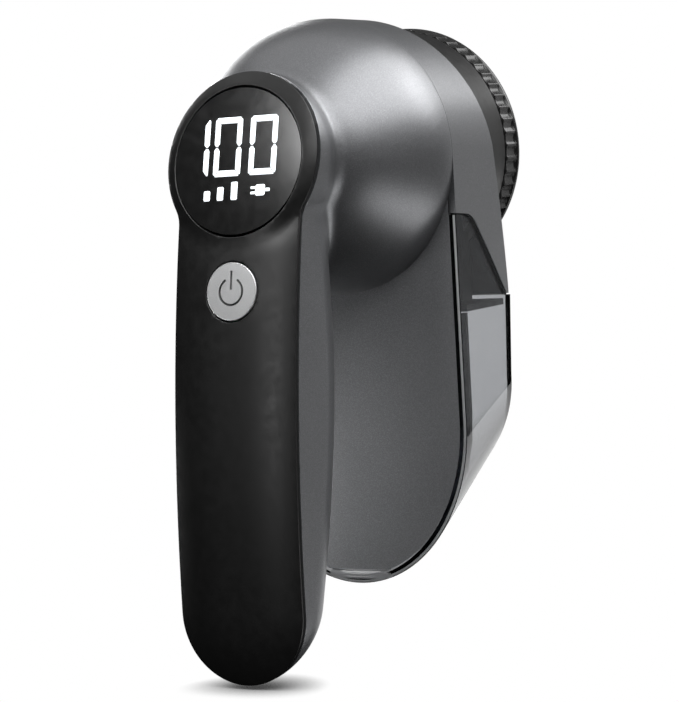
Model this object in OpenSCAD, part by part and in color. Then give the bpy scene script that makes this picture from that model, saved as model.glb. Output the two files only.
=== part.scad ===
// Fabric shaver: a round cutting head on an upright handle, with a see-through lint bin under the head.
// The origin is at the centre of the foil's face. The foil faces -Y, the handle is behind the head on the
// +Y side, and +Z is up. All sizes are in millimetres. The modules below are drawn from the front edge of
// the twist ring, and placed() moves each node back by the small step from that edge to the foil's face.

/* [Head] */
// Radius of the twist ring at the front of the head
ring_r = 33; // [32.5:0.1:33.5]
// Radius of the grey housing at its rear edge
head_r = 36; // [35.5:0.1:36.5]
// Distance from the front of the ring to the rear face of the housing
head_depth = 43; // [42:0.5:44]
// How far the dome stands out behind the housing
dome_depth = 38; // [37:0.5:39]
// Number of finger ribs round the twist ring
rib_count = 60; // [48:4:72]

/* [Cutter] */
// Radius of the perforated foil's face
foil_r = 30.1; // [29.6:0.1:30.1]
// Thickness of the foil
foil_t = 0.25; // [0.2:0.05:0.3]
// Number of blades on the cutter
blade_count = 6; // [4:1:8]
// Radius of the cutter disc
cutter_r = 25; // [23:0.5:25]

/* [Lint bin] */
// Height of the bin's lowest point below the cutter axis
bin_depth = 112.3; // [110:0.5:114]
// Thickness of the bin's walls
bin_wall = 2; // [1.8:0.1:2.2]

/* [Handle] */
// Half the width of the handle's shaft
handle_half = 17.7; // [17.5:0.1:18]
// Radius of the round head of the handle
handle_head_r = 22; // [21.5:0.1:22]
// Radius of the long curve of the handle's rear face
handle_curve_r = 488; // [480:1:500]
// Thickness of the black handle plate
plate_t = 3; // [3:0.1:3.2]
// Height of the power button below the cutter axis
button_drop = 30.8; // [30:0.2:32]
// How far the power button travels
button_travel = 0.5; // [0.3:0.1:0.5]

/* [Hidden] */
$fn = 96;

hull_fn = 32;            // facets on rounded hull sections
hole_fn = 24;            // facets on the foil's holes and other small rounds
curve_fn = 720;          // facets on the handle's long curve
cut = 1;                 // how far a cutting tool runs past the face it cuts
reach = 60;              // beyond anything in the head, for tools that cut right across it
running = 0.05;          // radial clearance of a turning or sliding fit
snug = 0.02;             // radial clearance of a fixed fit

// Housing: its outline changes evenly from the front plane to the rear plane
front_y = 11;            // plane of the arm tips, the cover's lower face and the bin's front
shell_wall = 1.8;
edge_lean = 0.24;        // the housing's front edge leans back by this much per millimetre of height
edge_y = 20;             // where that edge crosses the cutter axis
tip_z = -39;             // lowest point of the housing's arms
cover_low_z = -39.4;     // lower edge of the front cover
cover_half = 31.2;       // half width of the cover's flat face
bin_front_half = 32;
bin_rear_half = 35;
panel_inset = bin_wall + 0.2;
bin_back_y = 37;         // dark plate across the bin
ceiling_z = -41.8;       // underside of the plate that closes the bin's top
dimple_rows = 8;
dome_wall = 2;

// Front of the head
ring_back_y = 8;
bore_r = 31.05;          // bore of the twist ring
tube_r = bore_r - running;
tube_in_r = 28.5;
tube_front_y = 2.8;
wall_y = 14;             // chamber's rear wall, front face
wall_t = 2.5;
wall_back_y = wall_y + wall_t;
duct_back_y = 30;
duct_wall = 1.5;
lug_r = 31.9;
foil_step = 0.95;        // how far the foil stands out of the twist ring
foil_y = -foil_step;
flange_y = 1.05;         // foil's flange, front face
hex_pitch = 3.1;         // spacing of the foil's inner holes
disc_y = 9;              // front face of the cutter disc
blade_t = 0.5;
blade_y = foil_y + foil_t + 0.3;
ring_twist = 25;         // degrees from locked to free
lug_angles = [0, 120, 240];
lug_half = 4;
pin_r = 0.7;
pin_angle = 60;          // place of the safety pin round the chamber's wall
pin_circle_r = 29.75;

// Motor
motor_r = 12.2;
motor_len = 31;
shaft_r = 1;
motor_end_y = wall_back_y + motor_len;
motor_screw_x = 8;
motor_wall = 0.8;
end_cap_t = 3;

// Handle
handle_end_z = -110;     // centre of the handle's round end
handle_head_z = 1;
plate_gap = 0.15;        // keeps the plate off the shell, which is cut level where the plate leans back
section_steps = 28;      // straight pieces round one section of the handle's shell
section_power = 0.75;    // below 1 the section is fuller than an ellipse
curve_z = -117;          // height at which the rear face stands furthest back
curve_y = 102.15;
neck_r = 8;
lens_r = 18.55;
lens_tilt = 13.9;
button_z = -button_drop;
button_tilt = asin((button_z - curve_z) / handle_curve_r);
button_r = 7.3;
battery_r = 7.1;
battery_length = 49;
wire_r = 0.7;
battery_top = [0, 84, -60];
battery_lean = 7.1;      // degrees, so the cell follows the handle
socket_y = 95.3;
socket_z = -125.6;       // mouth of the charging socket

// Screw places
post_r = 3;
post_bore_r = 1.32;
shank_r = 1.3;
chamber_posts = [for (a = [90, 200, 340]) [26 * cos(a), 26 * sin(a)]];
dome_posts = [for (a = [45, 135, 225, 315]) [29 * cos(a), 29 * sin(a)]];

// ---------------------------------------------------------------- helpers

function mix(a, b, t) = a + (b - a) * t;

// Points of an elliptic arc about (cx, cz)
function arc_points(cx, cz, rx, rz, from, to, steps) =
    [for (i = [0:steps]) let (a = mix(from, to, i / steps)) [cx + rx * cos(a), cz + rz * sin(a)]];

// Outline of housing and bin at depth y: a round top, straight sides and a U-shaped bottom
function outline(y, inset) =
    let (t = (y - front_y) / (head_depth - front_y),
         top = mix(head_r - 0.7, head_r, t) - inset,
         half = mix(bin_front_half, bin_rear_half, t) - inset,
         centre_z = mix(-61, 43 - bin_depth, t),
         drop = mix(31.7, 43, t) - inset)
    concat(arc_points(0, 0, top, top, 0, 180, hull_fn / 2),
           arc_points(0, centre_z, half, drop, 180, 360, hull_fn / 2));

// Rear face of the handle at height z
function back_y(z) = curve_y - handle_curve_r + sqrt(pow(handle_curve_r, 2) - pow(z - curve_z, 2));

// Outline of the handle seen from behind, drawn inside the edge by inset
function handle_outline(inset) =
    let (neck_x = handle_half + neck_r,
         neck_z = handle_head_z - sqrt(pow(handle_head_r + neck_r, 2) - pow(neck_x, 2)),
         slope = atan2(neck_z - handle_head_z, neck_x),
         head = handle_head_r - inset,
         half = handle_half - inset,
         neck = neck_r + inset)
    concat(arc_points(0, handle_head_z, head, head, slope, 180 - slope, 48),
           arc_points(-neck_x, neck_z, neck, neck, -slope, 0, 6),
           arc_points(0, handle_end_z, half, half, 180, 360, 32),
           arc_points(neck_x, neck_z, neck, neck, 180, 180 + slope, 6));

// Half width of the handle at height z, drawn inside the edge by inset
function handle_width(z, inset) =
    let (neck_x = handle_half + neck_r,
         neck_z = handle_head_z - sqrt(pow(handle_head_r + neck_r, 2) - pow(neck_x, 2)),
         join_z = mix(handle_head_z, neck_z, handle_head_r / (handle_head_r + neck_r)))
    z > join_z ? sqrt(max(pow(handle_head_r - inset, 2) - pow(z - handle_head_z, 2), 0.3))
    : z > neck_z ? neck_x - sqrt(pow(neck_r + inset, 2) - pow(z - neck_z, 2))
    : z > handle_end_z ? handle_half - inset
    : sqrt(max(pow(handle_half - inset, 2) - pow(z - handle_end_z, 2), 0.3));

// Front face of the handle at height z
function handle_front(z) = 66.2 + 13.8 * pow(max(-42 - z, 0) / 68, 1.6);

// Depth of the handle's shell at height z, which rounds off towards the bottom end
function shell_depth(z, inset) =
    let (full = back_y(z) - plate_t - handle_front(z) - inset,
         r = handle_half - inset)
    z > handle_end_z ? full : full * pow(max(1 - pow((handle_end_z - z) / r, 2), 0.001), 0.4);

// One level section of the handle's shell: flat behind, fully rounded in front. A section of the cavity,
// which has an inset, runs on past the shell's rear edge.
function handle_section(z, inset) =
    let (past = inset > 0 ? cut : 0,
         half = handle_width(z, inset),
         depth = shell_depth(z, inset) + past,
         y = back_y(z) - plate_t + past)
    [for (i = [0:section_steps])
        let (a = 180 * i / section_steps, c = cos(a), s = sin(a))
        [half * sign(c) * pow(abs(c), section_power), y - depth * pow(s, section_power), z]];

// Turned about the cutter axis: points are [radius, y]
module turned(points) rotate([-90, 0, 0]) rotate_extrude() polygon(points);

// Straight along the cutter axis: the child outline is drawn in [x, z]
module along_y(from, to) translate([0, to, 0]) rotate([90, 0, 0])
    linear_extrude(height = to - from) children();

module rod_y(r, from, to) along_y(from, to) circle(r);

module tube_y(outer, inner, from, to) along_y(from, to) difference() {
    circle(outer);
    circle(inner);
}

// Outline swept between two depths with the housing's taper
module taper(inset, from, to) hull() {
    along_y(from, from + 0.01) polygon(outline(from, inset));
    along_y(to - 0.01, to) polygon(outline(to, inset));
}

// Prism across the whole width, drawn in [y, z]
module across(points) translate([-reach, 0, 0]) rotate([90, 0, 90])
    linear_extrude(height = 2 * reach) polygon(points);

// Frame on the handle's rear face at height z, its own Z pointing out of the face
module on_back(z, tilt) translate([0, back_y(z), z]) rotate([tilt - 90, 0, 0]) children();

// Straight run of round wire between two points
module wire(from, to, r) translate(from)
    rotate([0, acos((to - from)[2] / norm(to - from)), atan2((to - from)[1], (to - from)[0])])
        cylinder(r = r, h = norm(to - from), $fn = hole_fn);

// Pan-head screw along +Y with its head's rear face at y
module screw_y(x, z, y, length) translate([x, 0, z]) {
    rod_y(shank_r, y, y + length);
    difference() {
        rod_y(2.5, y - 1.8, y);
        translate([-0.4, y - 2.8, -2]) cube([0.8, 1.8, 4]);
        translate([-2, y - 2.8, -0.4]) cube([4, 1.8, 0.8]);
    }
}

// Side view of the part of the housing that is kept: front edge, arm and the bin's diagonal edge
module housing_side() across([
    [edge_y + edge_lean * 38, 38],
    [edge_y, 0],
    [edge_y - 1.8, -9],
    [12, tip_z],
    [13.4, tip_z],
    [31.5, -19.2],
    [34, -17.2],
    [37, -16.2],
    [head_depth, -16],
    [head_depth, 38]]);

// ---------------------------------------------------------------- housings

module head_shell() color([0.36, 0.37, 0.39]) difference() {
    union() {
        intersection() {
            difference() {
                taper(0, front_y, head_depth);
                taper(shell_wall, front_y - 0.01, head_depth + 0.01);
            }
            housing_side();
        }
        along_y(head_depth - shell_wall, head_depth)
            polygon(outline(head_depth - shell_wall, panel_inset));
        along_y(head_depth - shell_wall, head_depth) intersection() {
            polygon(outline(head_depth, shell_wall - 0.1));
            translate([-40, -15.9]) square([80, 60]);
        }
        for (p = chamber_posts) translate([p[0], 0, p[1]]) rod_y(post_r, wall_back_y, head_depth - 1);
    }
    rod_y(22, head_depth - 4, head_depth + cut);
    for (p = chamber_posts)
        translate([p[0], 0, p[1]]) rod_y(post_bore_r, wall_back_y - cut, wall_back_y + 10);
    for (p = dome_posts)
        translate([p[0], 0, p[1]]) rod_y(post_bore_r, head_depth - 4, head_depth + cut);
    // Finger notch at the foot of the rear panel
    translate([-9.75, head_depth - 4, -bin_depth]) cube([19.5, 4 + cut, 3.7]);
}

// Dome and handle front, one moulding
module rear_shell() color([0.38, 0.39, 0.41]) difference() {
    union() {
        difference() {
            union() {
                dome(0);
                handle_loft(0, 22.6, -127.5);
            }
            dome(dome_wall);
            handle_loft(shell_wall, 20.6, -125.6);
        }
        intersection() {
            for (p = dome_posts) translate([p[0], 0, p[1]]) rod_y(post_r, head_depth, head_depth + 16);
            dome(0.5);
        }
    }
    for (p = dome_posts) translate([p[0], 0, p[1]]) rod_y(post_bore_r, head_depth - cut, head_depth + 10);
    // Mouth of the charging socket
    translate([0, socket_y, socket_z - 6]) linear_extrude(height = 9) square([9.3, 3.5], center = true);
}

// Half ellipse turned about the cutter axis
module dome(inset) turned(concat(
    [[0, head_depth - (inset > 0 ? cut : 0)], [head_r - inset, head_depth - (inset > 0 ? cut : 0)]],
    [for (i = [0:20]) let (a = 90 * i / 20)
        [max((head_r - inset) * cos(a), 0), head_depth + (dome_depth - inset) * sin(a)]]));

// Loft of the handle's shell between two heights
module handle_loft(inset, top_z, bottom_z) {
    count = 36;
    sections = [for (i = [0:count])
        let (t = i / count, s = (1 - cos(180 * t)) / 2)
        handle_section(mix(top_z, bottom_z, s), inset)];
    n = section_steps + 1;
    points = [for (s = sections) each s];
    skin = [for (i = [0:count - 1]) for (j = [0:n - 1])
        let (k = (j + 1) % n)
        each [[i * n + j, (i + 1) * n + j, (i + 1) * n + k], [i * n + j, (i + 1) * n + k, i * n + k]]];
    top_cap = [[for (j = [0:n - 1]) j]];
    bottom_cap = [[for (j = [n - 1:-1:0]) count * n + j]];
    polyhedron(points = points, faces = concat(skin, top_cap, bottom_cap), convexity = 6);
}

// Black collar behind the twist ring, with the flat face above the bin
module front_cover() color([0.06, 0.06, 0.065]) difference() {
    cover_block(0, 0);
    cover_block(1.6, 1.6);
    rod_y(tube_r + snug, 0, 40);
}

module cover_block(inset, back) hull() {
    rod_y(ring_r - 0.1 - inset, ring_back_y + 0.2 + back, ring_back_y + 0.4 + back, $fn = hull_fn);
    translate([0, edge_y + (back > 0 ? 1 : 0), 0]) rotate([-atan(edge_lean), 0, 0])
        along_y(-0.2, 0) scale([1, 1 / cos(atan(edge_lean))]) circle(33.4 - inset, $fn = hull_fn);
    along_y(front_y + back, front_y + back + 0.2)
        polygon([
            [-cover_half + inset, -20],
            [cover_half - inset, -20],
            [cover_half - inset, cover_low_z + inset],
            [-cover_half + inset, cover_low_z + inset]]);
}

// Cutting chamber: a short tub round the cutter, with the duct down to the bin
module chamber() color([0.09, 0.09, 0.1]) difference() {
    union() {
        rod_y(tube_r, tube_front_y, wall_back_y);
        for (a = lug_angles) rotate([0, a, 0]) intersection() {
            tube_y(lug_r, tube_in_r, 5.6, 6.9);
            translate([20, 0, -lug_half]) cube([20, 20, 2 * lug_half]);
        }
        duct(0, wall_y, duct_back_y, ceiling_z);
        // Plate over the open top of the bin
        translate([0, 0, ceiling_z]) linear_extrude(height = 1.6)
            polygon([[-30.9, front_y + 2.5], [30.9, front_y + 2.5], [32.4, bin_back_y - 0.5],
                     [-32.4, bin_back_y - 0.5]]);
    }
    rod_y(tube_in_r, tube_front_y - cut, wall_y);
    difference() {
        duct(duct_wall, wall_back_y - 0.01, duct_back_y - duct_wall, ceiling_z - cut);
        rod_y(motor_r + 2, 0, 60);
    }
    // Window from the chamber into the duct
    translate([-17, wall_y - cut, -26]) cube([34, wall_t + 2 * cut, 11]);
    rod_y(3.12, wall_y - cut, wall_back_y + cut);
    for (x = [-motor_screw_x, motor_screw_x])
        translate([x, 0, 0]) rod_y(post_bore_r, wall_y - cut, wall_back_y + cut);
    for (p = chamber_posts) translate([p[0], 0, p[1]]) rod_y(post_bore_r, wall_y - cut, wall_back_y + cut);
    pin_place() rod_y(pin_r + running, tube_front_y - cut, wall_back_y + cut);
}

module duct(inset, from, to, bottom) translate([-22 + inset, from, bottom])
    cube([44 - 2 * inset, to - from, -13.2 - inset - bottom]);

// ---------------------------------------------------------------- foil and twist ring

module pin_place() translate([pin_circle_r * cos(pin_angle), 0, pin_circle_r * sin(pin_angle)]) children();

module foil_ring() color([0.05, 0.05, 0.055]) difference() {
    union() {
        turned([[foil_r + 0.1, 0.2], [30.9, 0], [32.1, 0], [ring_r, 0.9], [ring_r, ring_back_y],
                [bore_r, ring_back_y], [bore_r, flange_y], [foil_r + 0.1, flange_y]]);
        along_y(2, 7.6) difference() {
            polygon([for (i = [0:rib_count - 1]) for (s = [-0.4, -0.3, 0.3, 0.4])
                let (a = 360 / rib_count * (i + s), r = abs(s) < 0.35 ? ring_r + 0.45 : ring_r - 0.1)
                [r * cos(a), r * sin(a)]]);
            circle(ring_r - 0.5);
        }
    }
    // Bayonet groove, and the slots that let the lugs into it
    turned([[bore_r - 1, 5.4], [lug_r + 0.1, 5.4], [lug_r + 0.1, 7.1], [bore_r - 1, 7.1]]);
    for (a = lug_angles) rotate([0, a - ring_twist, 0])
        translate([20, 6, -lug_half - 0.5]) cube([lug_r + 0.15 - 20, ring_back_y, 2 * lug_half + 1]);
}

module foil_clip() color([0.1, 0.1, 0.1]) difference() {
    tube_y(bore_r - snug, 28.9, flange_y + foil_t, tube_front_y - 0.2);
    // Pocket that lets the safety pin out once the ring is turned
    intersection() {
        tube_y(pin_circle_r + 0.95, pin_circle_r - 0.84, tube_front_y - 1, tube_front_y);
        along_y(0, tube_front_y) polygon(concat([[0, 0]],
            arc_points(0, 0, 60, 60, pin_angle + 2.4, pin_angle + ring_twist + 4, 1)));
    }
}

function hex_radius(i, j) = norm([hex_pitch * (i + (j % 2 == 0 ? 0 : 0.5)), hex_pitch * sin(60) * j]);

module foil() color([0.82, 0.82, 0.8]) {
    along_y(foil_y, foil_y + foil_t) difference() {
        circle(foil_r - 0.1);
        for (i = [0:35]) {
            rotate(10 * i) translate([25.1, 0]) circle(1.25, $fn = hole_fn);
            rotate(10 * i + 5) translate([21.8, 0]) circle(1.1, $fn = hole_fn);
        }
        for (j = [-6:6]) for (i = [-7:7]) if (hex_radius(i, j) > 4 && hex_radius(i, j) < 18.6)
            translate([hex_pitch * (i + (j % 2 == 0 ? 0 : 0.5)), hex_pitch * sin(60) * j])
                circle(0.95, $fn = hole_fn);
    }
    turned([[foil_r - foil_t, foil_y], [foil_r - 0.1, foil_y], [foil_r, foil_y + 0.1], [foil_r, flange_y],
            [bore_r - 0.1, flange_y], [bore_r - 0.1, flange_y + foil_t],
            [foil_r - foil_t, flange_y + foil_t]]);
}

// ---------------------------------------------------------------- cutter

module cutter_disc() color([0.93, 0.94, 0.94]) difference() {
    union() {
        rod_y(cutter_r, disc_y, disc_y + 1.4);
        tube_y(cutter_r, cutter_r - 1, disc_y, disc_y + 2.6);
        rod_y(3.6, 4, 13.2);
    }
    rod_y(shaft_r + 0.01, 0, 20);
    for (i = [0:blade_count - 1]) along_y(disc_y - cut, disc_y + 3) window(360 / blade_count * (i + 0.5));
}

// Outline of one window in the cutter disc, centred on an angle
module window(angle) polygon(concat(
    arc_points(0, 0, 21.5, 21.5, angle - 19, angle + 19, 10),
    arc_points(0, 0, 14, 14, angle + 15, angle - 15, 8)));

module cutter_blades() color([0.7, 0.72, 0.74])
    for (i = [0:blade_count - 1]) rotate([0, 360 / blade_count * i, 0])
        translate([0, 0, -blade_t / 2]) linear_extrude(height = blade_t) polygon([
            [4.2, disc_y], [4.2, 1.5], [7, blade_y], [24.2, blade_y], [24.2, 3], [22.4, disc_y]]);

// ---------------------------------------------------------------- motor

module motor_can() color([0.62, 0.63, 0.64]) difference() {
    union() {
        rod_y(motor_r, wall_back_y, motor_end_y);
        rod_y(3.1, wall_back_y - 1.3, wall_back_y + 0.1);
    }
    rod_y(motor_r - motor_wall, wall_back_y + 1.2, motor_end_y + cut);
    rod_y(2.5, wall_back_y - 3, wall_back_y + 3);
    for (x = [-motor_screw_x, motor_screw_x])
        translate([x, 0, 0]) rod_y(post_bore_r, wall_back_y - cut, wall_back_y + 2);
}

module motor_magnets() color([0.2, 0.2, 0.22]) difference() {
    tube_y(motor_r - motor_wall - snug, 9.2, wall_back_y + 5, wall_back_y + 26);
    for (a = [0, 180]) rotate([0, a, 0]) translate([-3.2, 0, 0]) cube([6.4, 60, 20]);
}

module motor_armature() color([0.72, 0.45, 0.2]) difference() {
    union() {
        rod_y(8.6, wall_back_y + 6, wall_back_y + 24);
        rod_y(2.7, wall_back_y + 24, wall_back_y + 27.5);
    }
    rod_y(shaft_r + 0.01, 0, 80);
    for (a = [0, 120, 240]) rotate([0, a, 0]) translate([5, wall_back_y + 5, -0.9]) cube([5, 18, 1.8]);
}

module motor_end_cap() color([0.9, 0.9, 0.86]) difference() {
    rod_y(motor_r - motor_wall - snug, motor_end_y - end_cap_t, motor_end_y);
    rod_y(2.5, motor_end_y - 5, motor_end_y + cut);
    for (x = [-7, 7]) translate([x - 0.3, motor_end_y - 5, -1.25]) cube([0.6, 8, 2.5]);
}

module motor_bushings() color([0.75, 0.6, 0.35]) {
    tube_y(2.5 - 0.01, shaft_r + running, wall_back_y - 1.3, wall_back_y + 1.2);
    tube_y(2.5 - 0.01, shaft_r + running, motor_end_y - end_cap_t, motor_end_y);
}

module motor_shaft() color([0.8, 0.81, 0.82]) rod_y(shaft_r, 4.5, motor_end_y + 1);

module motor_terminals() color([0.85, 0.72, 0.4])
    for (x = [-7, 7]) translate([x - 0.28, motor_end_y - 2.6, -1.2]) cube([0.56, 7, 2.4]);

module motor_screws() color([0.7, 0.7, 0.7])
    for (x = [-motor_screw_x, motor_screw_x]) screw_y(x, 0, wall_y, 4);

module chamber_screws() color([0.7, 0.7, 0.7]) for (p = chamber_posts) screw_y(p[0], p[1], wall_y, 9);

module dome_screws() color([0.7, 0.7, 0.7])
    for (p = dome_posts) screw_y(p[0], p[1], head_depth - shell_wall, 9);

module safety_switch() color([0.12, 0.12, 0.12]) rotate([0, -pin_angle, 0])
    translate([pin_circle_r - 1.6, wall_back_y, -4.1]) cube([2.9, 5.5, 8.2]);

module safety_pin() color([0.85, 0.3, 0.2]) pin_place()
    rod_y(pin_r, tube_front_y - 0.05, wall_back_y - snug);

// ---------------------------------------------------------------- lint bin

// Side view of the bin: below the housing's arms and the cover
module bin_side() across([
    [front_y, tip_z - 0.6],
    [13.3, tip_z - 0.6],
    [31.5, -19.8],
    [34, -17.7],
    [37, -16.6],
    [head_depth, -16.4],
    [head_depth, -130],
    [front_y, -130]]);

module bin_shell() color([0.16, 0.17, 0.18, 0.6]) {
    intersection() {
        difference() {
            taper(0, front_y, head_depth);
            taper(bin_wall, front_y + bin_wall, head_depth + 0.1);
        }
        bin_side();
    }
    // Finger tab under the notch of the rear panel
    translate([-9, head_depth - 1.5, -bin_depth + bin_wall - 0.4]) cube([18, 1.5, 1.6]);
}

module bin_back() color([0.07, 0.07, 0.075]) difference() {
    along_y(bin_back_y, bin_back_y + 1.2) intersection() {
        polygon(outline(bin_back_y, bin_wall + 0.25));
        translate([-50, -130]) square([100, 88]);
    }
    // Rows of shallow round dimples
    for (row = [0:dimple_rows - 1]) for (column = [-2:2])
        translate([column * 3.5, 0, -91 + (row - (dimple_rows - 1) / 2) * 2.65])
            tube_y(0.75, 0.4, bin_back_y - cut, bin_back_y + 0.3);
}

// ---------------------------------------------------------------- handle

// Slab that follows the handle's rear face, between two depths under it
module back_slab(from, to)
    translate([-reach, curve_y - handle_curve_r, curve_z]) rotate([0, 90, 0]) difference() {
        cylinder(r = handle_curve_r - from, h = 2 * reach, $fn = curve_fn);
        translate([0, 0, -cut]) cylinder(r = handle_curve_r - to, h = 2 * (reach + cut), $fn = curve_fn);
    }

module handle_plate() color([0.05, 0.05, 0.05]) difference() {
    union() {
        intersection() {
            along_y(75, 110) polygon(handle_outline(0));
            back_slab(0, plate_t - plate_gap);
        }
        // Lip that locates the plate inside the shell
        intersection() {
            along_y(75, 110) difference() {
                polygon(handle_outline(shell_wall + 0.6));
                polygon(handle_outline(shell_wall + 1.8));
            }
            back_slab(plate_t - plate_gap - 0.1, plate_t + 2);
        }
    }
    on_back(handle_head_z, lens_tilt) {
        translate([0, 0, -1.6]) cylinder(r = lens_r + 0.1, h = 6);
        translate([0, 0, -8]) cylinder(r = lens_r - 1.5, h = 10);
    }
    on_back(button_z, button_tilt) translate([0, 0, -8]) cylinder(r = button_r + 0.2, h = 12);
}

module display_lens() color([0.02, 0.02, 0.02]) on_back(handle_head_z, lens_tilt)
    translate([0, 0, -1.58]) cylinder(r = lens_r, h = 1.5);

module display_module() color([0.2, 0.2, 0.2]) on_back(handle_head_z, lens_tilt)
    translate([-13, -9, -7.2]) cube([26, 20, 4.4]);

module display_board() color([0.1, 0.3, 0.18]) on_back(handle_head_z, lens_tilt)
    translate([0, 0, -8.8]) cylinder(r = 15.5, h = 1.6);

// Silver button with its flange and post
module power_button() color([0.78, 0.79, 0.8]) on_back(button_z, button_tilt) {
    translate([0, 0, -3.6]) cylinder(r = button_r, h = 3.9);
    translate([0, 0, -4.2]) cylinder(r = button_r + 1, h = 1.05);
    translate([0, 0, -5.6]) cylinder(r = 1.6, h = 2);
}

module switch_stem() color([0.1, 0.1, 0.1]) on_back(button_z, button_tilt)
    translate([0, 0, -7.6]) cylinder(r = 1.5, h = 2);

module tact_switch() color([0.25, 0.25, 0.26]) on_back(button_z, button_tilt) difference() {
    translate([-3, -3, -10.1]) cube([6, 6, 3.5]);
    translate([0, 0, -8.3]) cylinder(r = 1.5 + running, h = 4);
}

module main_board() color([0.1, 0.35, 0.2]) on_back(button_z, button_tilt) difference() {
    translate([-13, -9, -11.7]) cube([26, 30, 1.6]);
    for (x = [-10, 10]) translate([x, 17, -13]) cylinder(r = 1.02, h = 4);
}

module board_screws() color([0.7, 0.7, 0.7]) on_back(button_z, button_tilt)
    for (x = [-10, 10]) translate([x, 17, 0]) {
        translate([0, 0, -15]) cylinder(r = 1, h = 5);
        translate([0, 0, -10.1]) cylinder(r = 1.9, h = 1.3);
    }

module battery() color([0.2, 0.45, 0.75]) translate(battery_top) rotate([battery_lean, 0, 0]) {
    translate([0, 0, -battery_length]) cylinder(r = battery_r, h = battery_length);
    cylinder(r = 2.7, h = 1);
}

module battery_wires() color([0.75, 0.1, 0.1])
    for (side = [-1, 1]) wire([side * 2, 84, -58], [side * 8, 81.5, -50], wire_r);

module motor_wires() color([0.8, 0.15, 0.12])
    for (side = [-1, 1]) wire([side * 7, motor_end_y + 5.5, -1], [side * 8, 80.4, -25.3], wire_r);

module charge_socket() color([0.75, 0.76, 0.78]) translate([0, socket_y, socket_z]) difference() {
    translate([-4.5, -1.6, 0]) cube([9, 3.2, 7.3]);
    translate([-4, -1.1, -cut]) cube([8, 2.2, 7]);
}

// ---------------------------------------------------------------- nodes

module placed() translate([0, foil_step, 0]) children();

placed() head_shell();
placed() rear_shell();
placed() front_cover();
placed() chamber();
placed() foil_ring();
placed() foil();
placed() foil_clip();
placed() cutter_disc();
placed() cutter_blades();
placed() motor_can();
placed() motor_magnets();
placed() motor_armature();
placed() motor_end_cap();
placed() motor_bushings();
placed() motor_shaft();
placed() motor_terminals();
placed() motor_screws();
placed() chamber_screws();
placed() dome_screws();
placed() safety_switch();
placed() safety_pin();
placed() bin_shell();
placed() bin_back();
placed() handle_plate();
placed() display_lens();
placed() display_module();
placed() display_board();
placed() power_button();
placed() switch_stem();
placed() tact_switch();
placed() main_board();
placed() board_screws();
placed() battery();
placed() battery_wires();
placed() motor_wires();
placed() charge_socket();
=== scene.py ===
"""Looks of the fabric shaver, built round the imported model.

Shapes are worked out in millimetres from the front edge of the twist ring, with x to the right seen from the
foil side, y towards the handle and z up. put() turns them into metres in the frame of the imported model.
"""
import math

import bmesh
import bpy
import numpy as np
from mathutils import Matrix, Vector
from mathutils.geometry import delaunay_2d_cdt


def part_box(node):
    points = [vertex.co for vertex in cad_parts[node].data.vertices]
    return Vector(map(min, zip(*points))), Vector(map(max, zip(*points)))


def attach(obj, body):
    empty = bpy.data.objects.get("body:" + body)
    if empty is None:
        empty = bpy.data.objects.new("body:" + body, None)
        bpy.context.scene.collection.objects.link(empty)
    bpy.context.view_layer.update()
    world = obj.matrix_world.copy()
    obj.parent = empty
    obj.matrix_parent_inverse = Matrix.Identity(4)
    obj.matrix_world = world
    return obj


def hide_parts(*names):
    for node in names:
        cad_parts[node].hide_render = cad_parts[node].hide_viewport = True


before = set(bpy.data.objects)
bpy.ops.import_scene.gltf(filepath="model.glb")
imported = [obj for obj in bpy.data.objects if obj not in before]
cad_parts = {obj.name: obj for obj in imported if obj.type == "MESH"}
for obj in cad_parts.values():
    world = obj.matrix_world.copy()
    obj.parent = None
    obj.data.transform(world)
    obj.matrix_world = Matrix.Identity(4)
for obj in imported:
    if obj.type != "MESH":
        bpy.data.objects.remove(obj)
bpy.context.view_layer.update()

MM = 0.001
TURN = 2 * math.pi


# ------------------------------------------------------------------ sizes from the frame

# The frame's origin is this far in front of the ring's front edge
FOIL_STEP = 0.95
SHIFT = np.array([0, FOIL_STEP, 0])


def span(node):
    """Lowest and highest corner of a CAD node, in millimetres from the ring's front edge."""
    low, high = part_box(node)
    return np.array(low) / MM - SHIFT, np.array(high) / MM - SHIFT


_, housing_high = span("head_shell")
_, ring_high = span("foil_ring")
_, motor_high = span("motor_can")
bin_low, _ = span("bin_shell")
foil_low, _ = span("foil")
plate_low, plate_high = span("handle_plate")

# Housing and bin share one outline, a round top over a U, that widens from FRONT_Y back to HEAD_DEPTH
HEAD_R = housing_high[0]
HEAD_DEPTH = housing_high[1]
FRONT_Y = bin_low[1]
BIN_DROP = -bin_low[2]
# Top radius, half width of the U, its depth, and the height of its centre, at the front and at the rear
FRONT_SECTION = (HEAD_R - 0.7, 32.0, 31.7, -61.0)
REAR_SECTION = (HEAD_R, 35.0, 43.0, 43.0 - BIN_DROP)
WALL = 1.8
BIN_WALL = 2.0
BIN_GAP = 0.45
# Lowest point of the housing's arms
TIP_Z = -39.0

# Twist ring and foil
RING_BACK_Y = ring_high[1]
FLUTE = 0.45
RING_R = ring_high[0] - FLUTE
RING_BORE_R = 31.2
FOIL_Y = foil_low[1]
FOIL_R = RING_R - 2.9

# Handle, seen from behind: a round pad over a straight shaft with a round foot, joined by a round at the neck
HANDLE_FOOT_Z = plate_low[2]
HANDLE_TOP_Z = plate_high[2]
HEAD_PAD_R = plate_high[0]
HANDLE_HALF = 17.7
PAD_Z = HANDLE_TOP_Z - HEAD_PAD_R
FOOT_CENTRE_Z = HANDLE_FOOT_Z + HANDLE_HALF
NECK_R = 8.0
NECK_X = HANDLE_HALF + NECK_R
NECK_Z = PAD_Z - math.sqrt((HEAD_PAD_R + NECK_R) ** 2 - NECK_X ** 2)
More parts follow.
